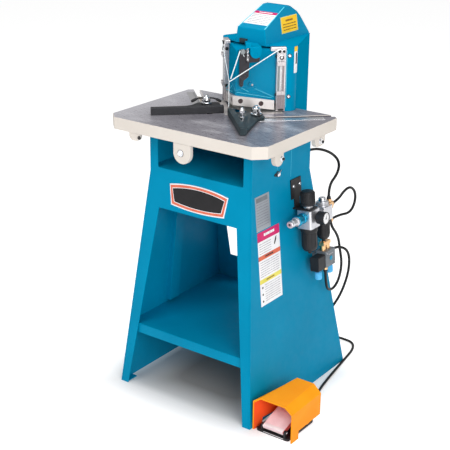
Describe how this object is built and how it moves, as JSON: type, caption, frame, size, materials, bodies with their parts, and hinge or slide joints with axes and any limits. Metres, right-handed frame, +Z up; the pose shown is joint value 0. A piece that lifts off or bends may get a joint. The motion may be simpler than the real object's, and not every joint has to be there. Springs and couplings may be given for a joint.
{
  "type": "corner notcher",
  "caption": "Air-powered corner notcher on a flared sheet-metal stand, with V blades, two sliding fences, an air unit and a foot pedal.",
  "frame": {"origin": "on the floor under the centre of the table", "axes": "+Z up, +X to the operator's right, +Y from the operator to the rear"},
  "size_m": [0.686, 0.7088, 1.199],
  "materials": {
    "blue_paint": "semi-gloss paint",
    "cream_paint": "semi-gloss paint",
    "ground_steel": "ground",
    "tool_steel": "ground",
    "dark_steel": "black oxide",
    "black_iron": "dark",
    "chrome": "polished",
    "zinc": "zinc plated",
    "clear_plastic": "clear polycarbonate",
    "bowl_plastic": "smoked polycarbonate",
    "alu": "die cast",
    "black_plastic": "moulded",
    "grey_plastic": "moulded",
    "blue_plastic": "moulded",
    "brass": "turned",
    "hose_rubber": "extruded",
    "orange_paint": "gloss paint",
    "pink_plastic": "moulded",
    "badge": "enamel"
  },
  "bodies": {
    "frame": {"side_panel_right": "blue_paint", "side_panel_left": "blue_paint", "front_panel": "blue_paint", "rear_panel": "blue_paint", "bottom_shelf": "blue_paint", "scrap_shelf": "blue_paint", "badge_plate": "badge", "table_plate": "cream_paint", "lug_bolts": "dark_steel", "scale_strips": "ground_steel", "die_bed": "blue_paint", "lower_blade_right": "tool_steel", "lower_blade_left": "tool_steel", "head_frame": "blue_paint", "hood_cover": "blue_paint", "button_screws": "dark_steel", "gib_right": "ground_steel", "gib_left": "ground_steel", "gib_screws": "dark_steel", "guard": "clear_plastic", "guard_brackets": "blue_paint", "latch_bracket": "blue_paint", "latch_pin": "chrome", "latch_spring": "chrome", "rocker_pin": "chrome", "air_cylinder": "alu", "unit_bracket": "black_plastic", "regulator_body": "alu", "filter_bowl": "bowl_plastic", "lubricator_body": "alu", "lubricator_bowl": "bowl_plastic", "pressure_gauge": "black_plastic", "air_inlet": "alu", "brass_fittings": "brass", "valve_block": "grey_plastic", "valve_pilot": "black_plastic", "mufflers": "blue_plastic", "hose_cylinder": "hose_rubber", "hose_loop": "hose_rubber", "hose_valve": "hose_rubber", "hose_pedal": "hose_rubber", "pedal_guard": "orange_paint", "pedal_base": "black_plastic", "treadle_pin": "chrome", "pedal_valve": "grey_plastic"},
    "rocker": {"rocker_arm": "zinc"},
    "ram": {"ram": "blue_paint", "upper_blade_right": "tool_steel", "upper_blade_left": "tool_steel", "blade_screws": "dark_steel"},
    "piston": {"piston_rod": "zinc"},
    "latch": {"ram_latch": "dark_steel"},
    "right_fence": {"fence_right": "black_iron", "t_bolt_right": "chrome"},
    "left_fence": {"fence_left": "black_iron", "t_bolt_left": "chrome"},
    "right_clamp": {"clamp_handle_right": "chrome"},
    "left_clamp": {"clamp_handle_left": "chrome"},
    "knob": {"regulator_knob": "black_plastic"},
    "treadle": {"treadle": "pink_plastic"}
  },
  "joints": [
    {"name": "rocker_pivot", "type": "hinge", "parent": "frame", "child": "rocker", "pos_m": [0, 0.212, 1.112], "axis": [1, 0, 0], "range_deg": [0, 28.95]},
    {"name": "ram_slide", "type": "slide", "parent": "frame", "child": "ram", "axis": [0, 0, 1], "range_m": [-0.0271, 0.0001]},
    {"name": "rod_slide", "type": "slide", "parent": "frame", "child": "piston", "axis": [0, 0, 1], "range_m": [-0.0001, 0.0301]},
    {"name": "latch_pivot", "type": "hinge", "parent": "frame", "child": "latch", "pos_m": [0.0495, 0.08943, 1.082], "axis": [0.7071, -0.7071, 0], "range_deg": [0, 20], "stiffness_Nm_per_rad": 0.8, "springref_deg": -17.19, "deforming": ["latch_spring"]},
    {"name": "right_fence_slide", "type": "slide", "parent": "frame", "child": "right_fence", "axis": [0.7071, 0.7071, 0], "range_m": [-0.012, 0.11]},
    {"name": "left_fence_slide", "type": "slide", "parent": "frame", "child": "left_fence", "axis": [-0.7071, 0.7071, 0], "range_m": [-0.012, 0.11]},
    {"name": "right_clamp_turn", "type": "hinge", "parent": "right_fence", "child": "right_clamp", "pos_m": [0.092, 0.04, 0.93], "axis": [0, 0, 1], "range_deg": [-90, 90]},
    {"name": "left_clamp_turn", "type": "hinge", "parent": "left_fence", "child": "left_clamp", "pos_m": [-0.103, 0.051, 0.93], "axis": [0, 0, 1], "range_deg": [-90, 90]},
    {"name": "regulator_turn", "type": "hinge", "parent": "frame", "child": "knob", "pos_m": [0.23853, 0.115, 0.65426], "axis": [-0.0938, 0, 0.9956], "range_deg": [-150, 150]},
    {"name": "treadle_press", "type": "hinge", "parent": "frame", "child": "treadle", "pos_m": [0, -0.179, 0.02], "axis": [1, 0, 0], "range_deg": [-7, 0], "stiffness_Nm_per_rad": 6, "springref_deg": 20.05}
  ],
  "couplings": [
    {"joint": "ram_slide", "follows": "rocker_pivot", "m_per_rad": -0.053427},
    {"joint": "rod_slide", "follows": "rocker_pivot", "m_per_rad": 0.059364}
  ]
}
